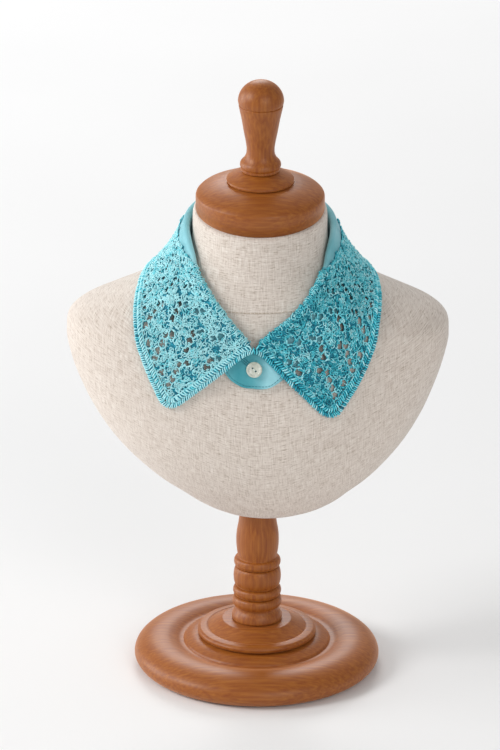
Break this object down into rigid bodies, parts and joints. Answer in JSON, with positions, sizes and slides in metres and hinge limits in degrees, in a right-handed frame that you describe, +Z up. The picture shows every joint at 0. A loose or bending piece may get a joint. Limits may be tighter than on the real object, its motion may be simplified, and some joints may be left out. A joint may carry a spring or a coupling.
{
  "type": "lace collar on a bust display stand",
  "caption": "Detachable crochet lace collar with a plain cotton stand, buttoned at the throat round a linen-covered neck form on a turned wooden stand.",
  "frame": {"origin": "middle of the wooden foot's underside, on the surface that it stands on", "axes": "+Z up, the form's throat and the button face -Y, +X is the side of the leaf that lies under the buttoned overlap"},
  "size_m": [0.2928, 0.1912, 0.4807],
  "materials": {
    "turned_wood": "satin varnish",
    "linen": "plain-woven natural linen, stretched",
    "turquoise_cotton": "plain cotton, pressed",
    "turquoise_thread": "mercerised crochet cotton",
    "shell_button": "polished cream shell look"
  },
  "bodies": {
    "root": {"base": "turned_wood", "base_step": "turned_wood", "post": "turned_wood", "bust_form": "linen", "neck_cap": "turned_wood", "cap_disc": "turned_wood", "finial": "turned_wood", "collar_stand": "turquoise_cotton", "roll_strip_right": "turquoise_cotton", "roll_strip_left": "turquoise_cotton", "lace_right": "turquoise_thread", "lace_left": "turquoise_thread", "lace_border_right": "turquoise_thread", "lace_border_left": "turquoise_thread", "button": "shell_button"}
  },
  "joints": []
}
